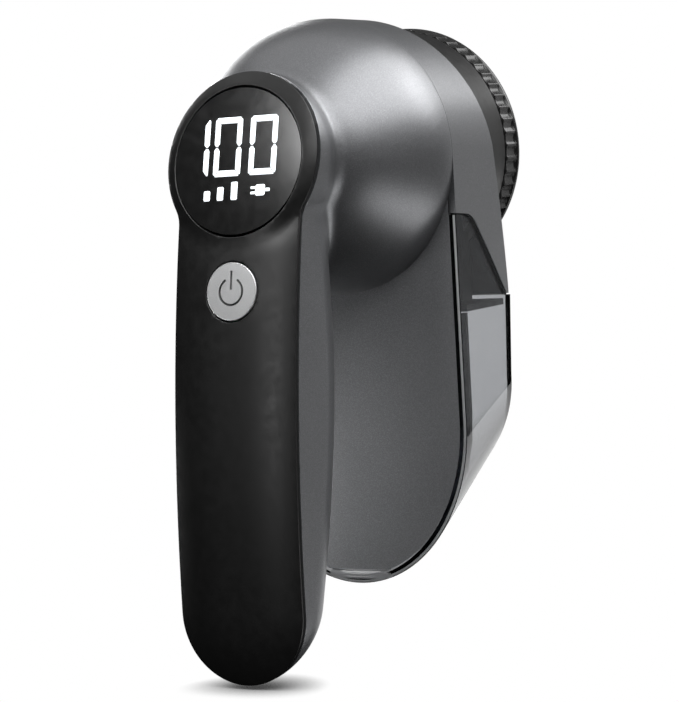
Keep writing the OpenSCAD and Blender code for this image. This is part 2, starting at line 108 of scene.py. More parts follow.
# Its rear face is part of a large circle, and its front face curves back below BEND_Z
CURVE_R = 488.0
CURVE_Z = -117.0
CURVE_Y = plate_high[1]
HANDLE_FRONT_Y = 66.2
BEND_Z = -42.0
PLATE_T = 3.0
DOME_DEPTH = 38.0


# ------------------------------------------------------------------ mesh helpers

def add(name, data):
    """New object in the scene for a mesh, a light or a camera."""
    made = bpy.data.objects.new(name, data)
    bpy.context.scene.collection.objects.link(made)
    return made


def put(name, verts, faces, body, material, stands_for=None, centre=None, smooth=True, merge=False):
    """Mesh piece from millimetre points, riding on a body.

    stands_for is the CAD node that it takes the place of. With a centre, its faces are turned to look away
    from it. merge joins triangles that lie in one plane.
    """
    verts = np.asarray(verts, float)
    mesh = bpy.data.meshes.new(name)
    placed = (verts + SHIFT) * MM
    mesh.from_pydata([tuple(v) for v in placed], [], [tuple(int(i) for i in f) for f in faces])
    mesh.validate()
    work = bmesh.new()
    work.from_mesh(mesh)
    bmesh.ops.remove_doubles(work, verts=work.verts, dist=0.002 * MM)
    bmesh.ops.recalc_face_normals(work, faces=work.faces)
    if centre is not None:
        middle = Vector((np.asarray(centre, float) + SHIFT) * MM)
        facing = sum(f.calc_area() * f.normal.dot(f.calc_center_median() - middle) for f in work.faces)
        if facing < 0:
            bmesh.ops.reverse_faces(work, faces=work.faces)
    if merge:
        bmesh.ops.dissolve_limit(work, angle_limit=math.radians(0.2), verts=work.verts, edges=work.edges)
    work.to_mesh(mesh)
    work.free()
    if smooth:
        mesh.polygons.foreach_set("use_smooth", [True] * len(mesh.polygons))
    mesh.materials.append(material)
    piece = add(name, mesh)
    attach(piece, body)
    if stands_for:
        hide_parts(stands_for)
    return piece


def thicken(piece, depth, even=True):
    """Gives a skin a wall that grows inwards from its outside."""
    wall = piece.modifiers.new("wall", "SOLIDIFY")
    wall.thickness = depth * MM
    wall.offset = -1
    wall.use_even_offset = even
    wall.use_quality_normals = True


def ease(piece, width, angle=40, segments=2):
    """Small round on every sharp edge, shaded so that flat faces stay flat."""
    edge = piece.modifiers.new("edge", "BEVEL")
    edge.width = width * MM
    edge.segments = segments
    edge.limit_method = "ANGLE"
    edge.angle_limit = math.radians(angle)
    edge.use_clamp_overlap = True
    shade = piece.modifiers.new("shade", "WEIGHTED_NORMAL")
    shade.keep_sharp = True


def grid_faces(rows, columns, wrap=False):
    """Quads of a rows by columns grid of points; wrap joins the last column to the first."""
    last = columns if wrap else columns - 1
    return [(r * columns + c, r * columns + (c + 1) % columns,
             (r + 1) * columns + (c + 1) % columns, (r + 1) * columns + c)
            for r in range(rows - 1) for c in range(last)]


def turned(profile, steps):
    """Points and faces of a [radius, height] profile turned about the third axis, as (across, up, height)."""
    angles = np.linspace(0, TURN, steps, endpoint=False)
    points = [(r * math.cos(a), r * math.sin(a), h) for r, h in profile for a in angles]
    return points, grid_faces(len(profile), steps, wrap=True)


def circle(cx, cz, radius, steps):
    """Closed loop of points round a circle."""
    return arc(cx, cz, radius, 0, TURN, steps + 1)[:-1]


def arc(cx, cz, radius, start, end, steps, tall=None):
    """Points from one angle to another on a circle, or on an ellipse of half height tall."""
    return [(cx + radius * math.cos(a), cz + (tall or radius) * math.sin(a))
            for a in np.linspace(start, end, steps)]


def inside(points, loop):
    """Which points lie inside a closed loop."""
    loop = np.asarray(loop)
    x, z = points[:, 0][:, None], points[:, 1][:, None]
    x0, z0 = loop[:, 0], loop[:, 1]
    x1, z1 = np.roll(x0, -1), np.roll(z0, -1)
    rise = np.where(z1 == z0, 1e-12, z1 - z0)
    crosses = ((z0 > z) != (z1 > z)) & (x < (x1 - x0) * (z - z0) / rise + x0)
    return crosses.sum(axis=1) % 2 == 1


def clear_of(points, outer, holes):
    """Which points lie inside the outer loop and outside every hole."""
    keep = inside(points, outer)
    for hole in holes:
        keep &= ~inside(points, hole)
    return keep


def filled(outer, holes=(), spacing=None):
    """Triangles over the inside of a flat loop, with holes left open. Returns points and faces.

    With a spacing, a grid of extra points is added, so that the sheet can be bent.
    """
    loops = [outer, *holes]
    points = [Vector(p) for loop in loops for p in loop]
    edges, start = [], 0
    for loop in loops:
        edges += [(start + i, start + (i + 1) % len(loop)) for i in range(len(loop))]
        start += len(loop)
    if spacing:
        low, high = np.min(outer, axis=0), np.max(outer, axis=0)
        xs = np.arange(low[0] + spacing / 2, high[0], spacing)
        zs = np.arange(low[1] + spacing / 2, high[1], spacing)
        seeds = np.array([(x, z) for z in zs for x in xs])
        rim = np.array([p for loop in loops for p in loop])
        gaps = np.sqrt(((seeds[:, None] - rim[None]) ** 2).sum(axis=2)).min(axis=1)
        points += [Vector(p) for p in seeds[clear_of(seeds, outer, holes) & (gaps > 0.45 * spacing)]]
    made = delaunay_2d_cdt(points, edges, [], 0, 1e-5)
    flat = np.array([tuple(p) for p in made[0]])
    faces = [tuple(f) for f in made[2]]
    middles = np.array([flat[list(f)].mean(axis=0) for f in faces])
    return flat, [f for f, keep in zip(faces, clear_of(middles, outer, holes)) if keep]


def prism(flat, faces, low, high):
    """Closed slab from flat triangles, between two heights. Returns local (x, y, height) points and faces."""
    count = len(flat)
    verts = [(*p, high) for p in flat] + [(*p, low) for p in flat]
    sides = {}
    for f in faces:
        for a, b in zip(f, f[1:] + f[:1]):
            if sides.pop((b, a), None) is None:
                sides[(a, b)] = True
    skin = [tuple(f) for f in faces] + [tuple(count + i for i in reversed(f)) for f in faces]
    skin += [(b, a, a + count, b + count) for a, b in sides]
    used = sorted({i for f in skin for i in f})
    renumber = {old: new for new, old in enumerate(used)}
    return [verts[i] for i in used], [tuple(renumber[i] for i in f) for f in skin]


# ------------------------------------------------------------------ shapes shared by several pieces

def mix(a, b, t):
    """From a at t = 0 to b at t = 1."""
    return a + (b - a) * t


def section(y, inset=0.0):
    """Top radius, half width, depth of the U and height of its centre, at depth y."""
    t = (y - FRONT_Y) / (HEAD_DEPTH - FRONT_Y)
    top, half, drop, centre = (mix(a, b, t) for a, b in zip(FRONT_SECTION, REAR_SECTION))
    return top - inset, half - inset, drop - inset, centre


def outline_at(y, inset=0.0):
    """Housing and bin outline at depth y: round top, straight sides, U-shaped bottom, as [x, z] points."""
    top, half, drop, centre = section(y, inset)
    side = [(mix(-top, -half, s), mix(0, centre, s)) for s in np.linspace(0, 1, 30)[1:-1]]
    back = [(-x, z) for x, z in reversed(side)]
    return np.array(arc(0, 0, top, 0, math.pi, 72) + side
                    + arc(0, centre, half, math.pi, TURN, 72, drop) + back)


def back_y(z):
    """Rear face of the handle at height z."""
    return CURVE_Y - CURVE_R + np.sqrt(CURVE_R ** 2 - (z - CURVE_Z) ** 2)


def handle_loop():
    """Outline of the handle seen from behind."""
    slope = math.atan2(NECK_Z - PAD_Z, NECK_X)
    heights = np.linspace(NECK_Z, FOOT_CENTRE_Z, 50)[1:-1]
    loop = arc(0, PAD_Z, HEAD_PAD_R, slope, math.pi - slope, 120)
    loop += arc(-NECK_X, NECK_Z, NECK_R, -slope, 0, 9)[1:]
    loop += [(-HANDLE_HALF, z) for z in heights]
    loop += arc(0, FOOT_CENTRE_Z, HANDLE_HALF, math.pi, TURN, 60)
    loop += [(HANDLE_HALF, z) for z in heights[::-1]]
    loop += arc(NECK_X, NECK_Z, NECK_R, math.pi, math.pi + slope, 9)[:-1]
    return loop


def handle_distance(x, z):
    """Signed distance to the handle's outline, negative inside."""
    x = np.abs(x)
    pad = np.hypot(x, z - PAD_Z) - HEAD_PAD_R
    shaft = np.where(z < FOOT_CENTRE_Z, np.hypot(x, z - FOOT_CENTRE_Z), x) - HANDLE_HALF
    shaft = np.where(z > PAD_Z, np.hypot(x, z - PAD_Z) - HANDLE_HALF, shaft)
    corner = NECK_R - np.hypot(x - NECK_X, z - NECK_Z)
    under_line = (z - NECK_Z) * NECK_X < (PAD_Z - NECK_Z) * (NECK_X - x)
    in_corner = (z > NECK_Z) & (x < NECK_X) & under_line
    return np.where(in_corner, corner, np.minimum(pad, shaft))


def handle_front(z):
    """Front face of the handle at height z: straight above BEND_Z, then a curve that reaches back."""
    reach, length, power = 13.8, 68.0, 1.6
    return HANDLE_FRONT_Y + reach * (np.maximum(BEND_Z - z, 0) / length) ** power


class Tilted:
    """Flat frame on the handle's rear face: (across, up the handle, out of the face)."""

    def __init__(self, centre, tilt):
        self.centre = np.array(centre)
        self.out = np.array([0, math.cos(tilt), math.sin(tilt)])
        self.up = np.array([0, -math.sin(tilt), math.cos(tilt)])

    def points(self, local):
        local = np.asarray(local, float)
        return (self.centre + local[:, :1] * np.array([1.0, 0, 0])
                + local[:, 1:2] * self.up + local[:, 2:3] * self.out)


LENS_Z = 1.0
LENS_TILT = math.radians(13.9)
BUTTON_Z = -30.8
BUTTON_TILT = math.asin((BUTTON_Z - CURVE_Z) / CURVE_R)
lens_frame = Tilted((0, back_y(LENS_Z), LENS_Z), LENS_TILT)
button_frame = Tilted((0, back_y(BUTTON_Z), BUTTON_Z), BUTTON_TILT)


# ------------------------------------------------------------------ materials

class Graph:
    """Short way to write a node tree. A value given to a socket is a number, a colour or another socket."""

    def __init__(self, tree):
        self.tree = tree

    def feed(self, socket, value):
        if isinstance(value, bpy.types.NodeSocket):
            self.tree.links.new(value, socket)
        else:
            socket.default_value = value

    def node(self, kind, **inputs):
        made = self.tree.nodes.new(kind)
        for key, value in inputs.items():
            self.feed(made.inputs[key.replace("_", " ")], value)
        return made

    def maths(self, operation, *values):
        made = self.tree.nodes.new("ShaderNodeMath")
        made.operation = operation
        for socket, value in zip(made.inputs, values):
            self.feed(socket, value)
        return made.outputs["Value"]

    def levels(self, value, low, high, start=0.3, end=0.7):
        """Goes from low to high as the value goes from start to end."""
        made = self.node("ShaderNodeMapRange", Value=value, From_Min=start, From_Max=end,
                         To_Min=low, To_Max=high)
        return made.outputs["Result"]


class Nodes(Graph):
    """Node material round one Principled shader."""

    def __init__(self, name):
        self.material = bpy.data.materials.new(name)
        self.material.use_nodes = True
        super().__init__(self.material.node_tree)
        self.surface = self.tree.nodes["Principled BSDF"]
        self.place = self.node("ShaderNodeTexCoord").outputs["Object"]

    def set(self, **inputs):
        for key, value in inputs.items():
            self.feed(self.surface.inputs[key.replace("_", " ")], value)

    def noise(self, size_mm, detail=3.0, vector=None):
        """Noise whose grains are about size_mm across, from 0 to 1."""
        made = self.node("ShaderNodeTexNoise", Scale=1.0 / (size_mm * MM), Detail=detail,
                         Vector=vector or self.place)
        return made.outputs["Fac"]

    def tint(self, factor, first, second):
        """Colour between first and second."""
        made = self.tree.nodes.new("ShaderNodeMix")
        made.data_type = "RGBA"
        self.feed(made.inputs["Factor"], factor)
        self.feed(made.inputs["A"], first)
        self.feed(made.inputs["B"], second)
        return made.outputs["Result"]

    def bump(self, height, strength, depth_mm):
        made = self.node("ShaderNodeBump", Height=height, Strength=strength, Distance=depth_mm * MM)
        self.set(Normal=made.outputs["Normal"])

    def wear(self):
        """1 on outside edges, 0 elsewhere."""
        point = self.node("ShaderNodeNewGeometry").outputs["Pointiness"]
        return self.levels(point, 0, 1, 0.57, 0.68)


def rgb(value):
    return (value, value, value, 1)


def scaled(colour, factor):
    """The same colour, darker or lighter."""
    return tuple(min(c * factor, 1) for c in colour[:3]) + (1,)


def plastic(name, colour, rough, grain_mm=0.12, depth_mm=0.01, coat=0.0, worn=1.6, shine=0.5):
    """Moulded plastic: fine mould grain, slow colour drift, edges rubbed a little lighter."""
    m = Nodes(name)
    drift = m.levels(m.noise(14.0, 2.0), 0.0, 1.0)
    base = m.tint(drift, scaled(colour, 0.9), colour)
    m.set(Base_Color=m.tint(m.wear(), base, scaled(colour, worn)),
          Roughness=m.levels(m.noise(2.5, 4.0), rough * 0.88, min(rough * 1.12, 1)),
          Specular_IOR_Level=shine, Coat_Weight=coat, Coat_Roughness=0.08)
    m.bump(m.noise(grain_mm, 2.0), 0.25, depth_mm)
    return m.material


def metal(name, colour, rough, grain_mm=0.2, depth_mm=0.004, stretch=(1, 1, 1), variation=0.12):
    """Bare metal with a fine brushed or ground grain; stretch squeezes the grain along an axis."""
    m = Nodes(name)
    squeeze = m.node("ShaderNodeVectorMath", Vector=m.place)
    squeeze.operation = "MULTIPLY"
    squeeze.inputs[1].default_value = stretch
    along = squeeze.outputs["Vector"]
    grain = m.noise(grain_mm, 3.0, along)
    m.set(Base_Color=m.tint(m.levels(grain, 0, 1), scaled(colour, 1 - variation), colour), Metallic=1.0,
          Roughness=m.levels(m.noise(grain_mm * 3, 3.0, along), rough * 0.8, rough * 1.2))
    m.bump(grain, 0.3, depth_mm)
    return m.material


def sparkling_grey(name, metallic, rough):
    """Satin metallic lacquer: fine flakes that catch the light one by one."""
    m = Nodes(name)
    flake = m.noise(0.16, 1.0)
    drift = m.levels(m.noise(20.0, 2.0), 0, 1)
    base = m.tint(drift, (0.155, 0.158, 0.166, 1), (0.172, 0.175, 0.183, 1))
    flecked = m.tint(m.levels(flake, 0, 0.5, 0.45, 0.8), base, (0.42, 0.425, 0.435, 1))
    m.set(Base_Color=m.tint(m.wear(), flecked, (0.34, 0.345, 0.355, 1)), Metallic=metallic,
          Roughness=m.levels(m.noise(0.5, 3.0), rough - 0.05, rough + 0.05),
          Coat_Weight=0.25, Coat_Roughness=0.3)
    m.bump(flake, 0.22, 0.012)
    return m.material


def smoky_clear():
    """Grey transparent plastic that darkens light with depth, so it is darkest where seen along a wall."""
    m = Nodes("smoky_plastic")
    flow = m.levels(m.noise(9.0, 2.0), 0, 1)
    m.set(Base_Color=m.tint(flow, (0.86, 0.865, 0.875, 1), (0.89, 0.895, 0.9, 1)),
          Transmission_Weight=1.0, IOR=1.46,
          Roughness=m.levels(m.noise(0.7, 3.0), 0.008, 0.022))
    m.bump(m.noise(3.5, 2.0), 0.08, 0.02)
    depth = m.node("ShaderNodeVolumeAbsorption", Color=(0.5, 0.51, 0.53, 1), Density=260.0)
    m.tree.links.new(depth.outputs["Volume"], m.tree.nodes["Material Output"].inputs["Volume"])
    return m.material


def frosted_highlight_clear():
    """The same plastic left rough and light-coloured: a painted highlight where the clear wall carries light
    to its edge.
    """
    m = Nodes("frosted_highlight_plastic")
    grain = m.noise(0.3, 2.0)
    # Light base colour: painted highlight of a clear edge lit through its wall
    m.set(Base_Color=m.tint(grain, (0.72, 0.73, 0.74, 1), (0.8, 0.8, 0.8, 1)), Transmission_Weight=0.35,
          IOR=1.46, Roughness=m.levels(grain, 0.4, 0.55))
    m.bump(grain, 0.2, 0.02)
    return m.material


def ring_brushed(name, colour, rough):
    """Steel polished in circles about the cutter axis."""
    m = Nodes(name)
    split = m.node("ShaderNodeSeparateXYZ", Vector=m.place)
    flat = m.node("ShaderNodeCombineXYZ", X=split.outputs["X"], Y=split.outputs["Z"])
    length = m.node("ShaderNodeVectorMath", Vector=flat.outputs["Vector"])
    length.operation = "LENGTH"
    rings = m.node("ShaderNodeTexNoise", Scale=1.0, Detail=4.0)
    rings.noise_dimensions = "1D"
    line_mm = 0.12
    m.feed(rings.inputs["W"], m.maths("MULTIPLY", length.outputs["Value"], 1.0 / (line_mm * MM)))
    lines = rings.outputs["Fac"]
    m.set(Base_Color=m.tint(m.levels(lines, 0, 1), scaled(colour, 0.9), colour), Metallic=1.0,
          Roughness=m.levels(m.noise(0.4, 3.0), rough * 0.85, rough * 1.2), Anisotropic=0.5)
    m.bump(lines, 0.12, 0.003)
    return m.material


def circuit_board():
    """Green solder mask over copper tracks, with bare pads."""
    m = Nodes("solder_mask")
    tracks = m.node("ShaderNodeTexBrick", Scale=1.0, Vector=m.place,
                    Brick_Width=2.4 * MM, Row_Height=1.1 * MM, Mortar_Size=0.12 * MM,
                    Color1=(0.012, 0.09, 0.04, 1), Color2=(0.016, 0.11, 0.05, 1), Mortar=(0.03, 0.2, 0.08, 1))
    m.set(Base_Color=tracks.outputs["Color"], Roughness=m.levels(m.noise(0.6), 0.28, 0.4))
    m.bump(tracks.outputs["Fac"], 0.3, 0.02)
    return m.material


def glowing(name, strength):
    """Lit display figure, a little uneven across each segment."""
    m = Nodes(name)
    level = m.levels(m.noise(1.4, 2.0), strength * 0.92, strength * 1.05)
    m.set(Base_Color=(0.9, 0.95, 1, 1), Emission_Color=(0.93, 0.98, 1, 1), Emission_Strength=level,
          Roughness=0.4)
    return m.material


grey = sparkling_grey("grey_lacquer", 0.82, 0.38)
panel_grey = sparkling_grey("grey_lacquer_matt", 0.4, 0.46)
smoky = smoky_clear()
# Light rough plastic: painted highlight on the bin's clear rear edge and tab
frosted_highlight = frosted_highlight_clear()
gloss_black = plastic("gloss_black", rgb(0.009), 0.34, 0.3, 0.004, worn=1.3, shine=0.35)
rib_black = plastic("rib_black", rgb(0.01), 0.24, 0.3, 0.003, worn=1.3, shine=0.6)
satin_black = plastic("satin_black", rgb(0.007), 0.36, 0.16, 0.006, worn=3.0)
matte_black = plastic("matte_black", rgb(0.022), 0.5, 0.2, 0.012, worn=2.0)
lens_black = plastic("lens_black", rgb(0.003), 0.22, 0.5, 0.001, worn=2.0)
white_nylon = plastic("white_nylon", (0.78, 0.79, 0.79, 1), 0.42, 0.2, 0.01, worn=1.05)
cream_plastic = plastic("cream_plastic", (0.72, 0.7, 0.6, 1), 0.45, 0.2, 0.01, worn=1.05)
red_plastic = plastic("red_plastic", (0.45, 0.04, 0.03, 1), 0.4, 0.2, 0.01, worn=1.4)
red_insulation = plastic("red_insulation", (0.4, 0.02, 0.015, 1), 0.3, 0.15, 0.006, worn=1.4)
blue_wrap = plastic("blue_wrap", (0.03, 0.12, 0.4, 1), 0.25, 1.2, 0.02, coat=0.5, worn=1.5)
foil_steel = ring_brushed("foil_steel", (0.80, 0.795, 0.78, 1), 0.26)
blade_steel = metal("blade_steel", (0.62, 0.64, 0.66, 1), 0.22, 0.12, 0.004, (1, 0.1, 1))
can_steel = metal("can_steel", (0.5, 0.51, 0.52, 1), 0.32, 0.15, 0.004, (1, 0.08, 1))
screw_steel = metal("screw_steel", (0.52, 0.53, 0.55, 1), 0.3, 0.1, 0.004)
bronze = metal("sintered_bronze", (0.6, 0.42, 0.2, 1), 0.45, 0.12, 0.01)
copper = metal("wound_copper", (0.72, 0.33, 0.14, 1), 0.35, 0.35, 0.05, (1, 0.05, 1), 0.4)
magnet_black = metal("ferrite", (0.1, 0.1, 0.105, 1), 0.6, 0.2, 0.01)
button_silver = metal("button_silver", (0.72, 0.725, 0.73, 1), 0.42, 0.1, 0.006, variation=0.18)
board_green = circuit_board()
figure_light = glowing("figure_light", 1.1)


# ------------------------------------------------------------------ CAD nodes that keep their shape

KEPT = {
    "chamber": matte_black, "foil_clip": matte_black, "safety_switch": matte_black,
    "tact_switch": matte_black, "switch_stem": matte_black, "display_module": matte_black,
    "bin_back": matte_black, "cutter_disc": white_nylon, "motor_end_cap": cream_plastic,
    "cutter_blades": blade_steel, "motor_shaft": blade_steel, "motor_can": can_steel,
    "motor_magnets": magnet_black, "motor_armature": copper, "motor_bushings": bronze,
    "motor_terminals": bronze, "motor_screws": screw_steel, "chamber_screws": screw_steel,
    "dome_screws": screw_steel, "board_screws": screw_steel, "charge_socket": screw_steel,
    "safety_pin": red_plastic, "display_board": board_green, "main_board": board_green,
    "battery": blue_wrap, "battery_wires": red_insulation, "motor_wires": red_insulation,
}


def carry_over(node, material):
    """Gives a CAD node its material and softens its edges."""
    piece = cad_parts[node]
    piece.data.materials.clear()
    piece.data.materials.append(material)
    ease(piece, 0.12)


for kept_node, kept_material in KEPT.items():
    carry_over(kept_node, kept_material)


# ------------------------------------------------------------------ housing

def side_x(y, z):
    """Half width of the housing and bin outline at depth y and height z, for heights below the axis."""
    top, half, _, centre = section(y)
    return mix(top, half, z / centre)


LEAN = 0.24
ARM_ROOT_Y = 20.0
ARM_TIP_Y = 12.0


def arm_front(z):
    """Front edge of the housing: leans back above the axis, runs down to the arm tips below it."""
    if z > 0:
        return ARM_ROOT_Y + LEAN * z
    return ARM_TIP_Y + (ARM_ROOT_Y - ARM_TIP_Y) * ((max(z, TIP_Z) - TIP_Z) / -TIP_Z) ** 1.15


# Edge between housing and bin on each side, as depth and height: a diagonal that rounds into the rear corner
EDGE_Y = [11.0, 13.3, 31.5, 33.0, 34.4, 36.0, 38.0, 43.0]
EDGE_Z = [TIP_Z, TIP_Z, -19.2, -17.9, -17.1, -16.6, -16.25, -16.1]


def build_band():
    """Grey band with its two arms, as columns of points that run from its front edge to its rear edge."""
    rows = 20
    columns = []
    for z in np.linspace(TIP_Z, EDGE_Z[-1], 40):
        rear = float(np.interp(z, EDGE_Z[1:], EDGE_Y[1:]))
        columns.append([(side_x(y, z), y, z) for y in np.linspace(arm_front(z), rear, rows)])
    for z in np.linspace(EDGE_Z[-1], 0, 10)[1:]:
        columns.append([(side_x(y, z), y, z) for y in np.linspace(arm_front(z), HEAD_DEPTH, rows)])
    for a in np.linspace(0, math.pi / 2, 48)[1:]:
        depths = np.linspace(arm_front(HEAD_R * math.sin(a)), HEAD_DEPTH, rows)
        columns.append([(section(y)[0] * math.cos(a), y, section(y)[0] * math.sin(a)) for y in depths])
    columns += [[(-x, y, z) for x, y, z in column] for column in reversed(columns[:-1])]
    verts = [p for column in columns for p in column]
    band = put("housing_band", verts, grid_faces(len(columns), rows), "body", grey,
               "head_shell", centre=(0, 30, 0))
    thicken(band, WALL)
    ease(band, 0.4, 50)


def build_rear_panel():
    """Closes the housing behind the bin, open for the motor, its foot notched for a finger."""
    notch_half, notch_z = 9.75, BIN_WALL + 1.7 - BIN_DROP
    loop = [(x, z) for x, z in outline_at(HEAD_DEPTH, BIN_WALL + 0.2)
            if abs(x) > notch_half or z > notch_z]
    cut_at = max(i for i, p in enumerate(loop) if p[0] < 0) + 1
    loop[cut_at:cut_at] = [(-notch_half, notch_z), (notch_half, notch_z)]
    flat, faces = filled(loop, [circle(0, 0, motor_high[0] + 0.5, 96)])
    slab, skin = prism(flat, faces, -WALL, 0.0)
    # The bin narrows towards the front, so the panel's front face is a little smaller than its rear face
    narrower, shorter = 0.005, 0.0125
    verts = [(x * (1 + narrower * h / WALL), HEAD_DEPTH + h, z * (1 + shorter * h / WALL))
             for x, z, h in slab]
    panel = put("rear_panel", verts, skin, "body", panel_grey, merge=True)
    ease(panel, 0.25, 50)


build_band()
build_rear_panel()


# ------------------------------------------------------------------ dome and handle front

def blend_distance(a, b, reach):
    """Union of two distances with a soft inside corner."""
    h = np.clip(0.5 + 0.5 * (b - a) / reach, 0, 1)
    return b + (a - b) * h - reach * h * (1 - h)


HANDLE_ROUND = 15.0
BLEND = 3.0


def shell_value(p):
    """Below zero inside the dome and handle, which run on past their cut edges."""
    x, y, z = p.T
    behind = np.maximum(y - HEAD_DEPTH, 0)
    radial = np.hypot(x, z)
    level = np.sqrt((radial / HEAD_R) ** 2 + (behind / DOME_DEPTH) ** 2)
    slope = np.sqrt((radial / HEAD_R ** 2) ** 2 + (behind / DOME_DEPTH ** 2) ** 2) + 1e-6
    dome = (level - 1) * level / slope
    side = handle_distance(x, z) + HANDLE_ROUND
    front = handle_front(z) - y + HANDLE_ROUND
    corner = np.hypot(np.maximum(side, 0), np.maximum(front, 0))
    handle = corner + np.minimum(np.maximum(side, front), 0) - HANDLE_ROUND
    return blend_distance(dome, handle, BLEND)


def settle(points, value, rounds=8):
    """Moves points onto the surface where value is zero."""
    step = 0.02
    for _ in range(rounds):
        here = value(points)
        slope = np.stack([(value(points + np.eye(3)[k] * step) - here) / step for k in range(3)], axis=1)
        size = np.maximum((slope ** 2).sum(axis=1), 0.05)
        points = points - (here / size)[:, None] * slope
    return points


def rough_block():
    """Closed voxel mesh near the dome and handle, a start for settle()."""
    work = bmesh.new()
    dome = bmesh.ops.create_uvsphere(work, u_segments=64, v_segments=40, radius=1.0)["verts"]
    for v in dome:
        v.co = Vector((v.co.x * HEAD_R, v.co.y * DOME_DEPTH, v.co.z * HEAD_R))
        v.co.y = v.co.y + HEAD_DEPTH if v.co.y > 0 else HEAD_DEPTH + v.co.y * 0.2
    rings = []
    xs = np.linspace(0, 24, 481)
    for z in np.linspace(HANDLE_TOP_Z - 0.6, HANDLE_FOOT_Z + 0.6, 90):
        half = xs[handle_distance(xs, np.full_like(xs, z)) < 0].max()
        rear = back_y(z) + 4
        front = handle_front(z) + (8.0 if z < FOOT_CENTRE_Z - 8 else 0.0)
        ring = [work.verts.new((half * math.cos(a), mix(rear, front, math.sin(a) ** 0.6), z))
                for a in np.linspace(0, math.pi, 24)]
        rings.append(ring)
    for upper, lower in zip(rings, rings[1:]):
        for i in range(len(upper)):
            j = (i + 1) % len(upper)
            work.faces.new((upper[i], upper[j], lower[j], lower[i]))
    work.faces.new(rings[0])
    work.faces.new(list(reversed(rings[-1])))
    bmesh.ops.recalc_face_normals(work, faces=work.faces)
    mesh = bpy.data.meshes.new("rough_block")
    work.to_mesh(mesh)
    work.free()
    block = add("rough_block", mesh)
    remesh = block.modifiers.new("even", "REMESH")
    remesh.mode = "VOXEL"
    remesh.voxel_size = 1.0
    depsgraph = bpy.context.evaluated_depsgraph_get()
    even = bpy.data.meshes.new_from_object(block.evaluated_get(depsgraph))
    points = np.array([v.co[:] for v in even.vertices])
    faces = [tuple(f.vertices) for f in even.polygons]
    bpy.data.objects.remove(block)
    return points, faces


def cut_flat(work, depth, side):
    """Cuts off whatever lies past depth, towards +y for side 1 and -y for side -1."""
    for v in work.verts:
        if abs(v.co.y - depth) < 0.3:
            v.co.y = depth
    everything = list(work.verts) + list(work.edges) + list(work.faces)
    bmesh.ops.bisect_plane(work, geom=everything, dist=0.001, plane_co=(0, depth, 0), plane_no=(0, side, 0),
                           clear_outer=True)


def build_rear_shell():
    """Dome and front half of the handle: a voxel block drawn onto the true surface, then cut and hollowed."""
    points, faces = rough_block()
    points = settle(points, shell_value)
    work = bmesh.new()
    verts = [work.verts.new(p) for p in points]
    for f in faces:
        work.faces.new([verts[i] for i in f])
    for _ in range(2):
        bmesh.ops.smooth_vert(work, verts=work.verts, factor=0.5,
                              use_axis_x=True, use_axis_y=True, use_axis_z=True)
        work.verts.ensure_lookup_table()
        moved = settle(np.array([v.co[:] for v in work.verts]), shell_value, 4)
        for v, p in zip(work.verts, moved):
            v.co = p
    # The front is cut flat where the dome meets the housing
    cut_flat(work, HEAD_DEPTH + 0.12, -1)
    # The back is cut along the handle's long curve: bent straight, cut, and bent back
    for v in work.verts:
        v.co.y -= back_y(v.co.z)
    cut_flat(work, -PLATE_T - 0.35, 1)
    for v in work.verts:
        v.co.y += back_y(v.co.z)
    points = [tuple(v.co) for v in work.verts]
    work.verts.index_update()
    faces = [tuple(v.index for v in f.verts) for f in work.faces]
    work.free()
    shell = put("rear_shell_skin", points, faces, "body", grey, "rear_shell",
                centre=(0, 60, -20))
    thicken(shell, WALL, even=False)
    ease(shell, 0.35, 60)


build_rear_shell()


# ------------------------------------------------------------------ front cover, twist ring and foil

# The cover's rear edge lies this far behind the housing's front edge, and this far inside its outline
COVER_LAP = 0.35
COVER_INSET = WALL + 0.08


def cover_rear_edge():
    """Half of the cover's rear edge: across the flat face, up the arm, then round the top of the housing."""
    half = 31.2
    path = []
    for z in np.linspace(TIP_Z + 0.5, 0, 60):
        y = float(arm_front(z)) + COVER_LAP
        rim = outline_at(y, COVER_INSET)
        right = rim[rim[:, 0] > 0]
        x = np.interp(z, *right[np.argsort(right[:, 1])].T[::-1])
        path.append((x, y, z))
    radius = HEAD_R - COVER_LAP - COVER_INSET
    top = [(x, arm_front(z) + COVER_LAP, z) for x, z in arc(0, 0, radius, 0, math.pi / 2, 60)[1:]]
    floor = [(x, FRONT_Y, TIP_Z - 0.4) for x in np.linspace(0, half, 24)]
    corner = [(half + 0.15, FRONT_Y + 0.3, TIP_Z + 0.2)]
    return np.array(floor + corner + path + top)


def build_cover():
    """Gloss black collar from the twist ring back to the housing, flat below down to the bin."""
    count, rows = 240, 14
    radius, bore = RING_R - 0.1, 31.4
    angles = TURN * np.arange(count) / count
    front = np.array([(radius * math.sin(a), RING_BACK_Y + 0.15, -radius * math.cos(a)) for a in angles])
    edge = cover_rear_edge()
    whole = np.vstack([edge, (edge * [-1, 1, 1])[::-1][1:-1]])
    # Match the two edges by their direction from the axis, counted from straight down
    direction = np.mod(np.arctan2(whole[:, 2], whole[:, 0]) + math.pi / 2, TURN)
    order = np.argsort(direction)
    back = np.stack([np.interp(angles, direction[order], whole[order][:, k], period=TURN) for k in range(3)],
                    axis=1)
    levels = [front * [bore / radius, 1, bore / radius], front]
    for t in np.linspace(0, 1, rows)[1:]:
        flare = 0.35 * t * t * (3 - 2 * t) + 0.65 * t
        levels.append(mix(front, back, np.array([flare, t, flare])))
    cover = put("front_cover_skin", np.vstack(levels), grid_faces(len(levels), count, wrap=True), "body",
                gloss_black, "front_cover", centre=(0, 40, 0))
    thicken(cover, 1.2)
    ease(cover, 0.2, 45)


build_cover()


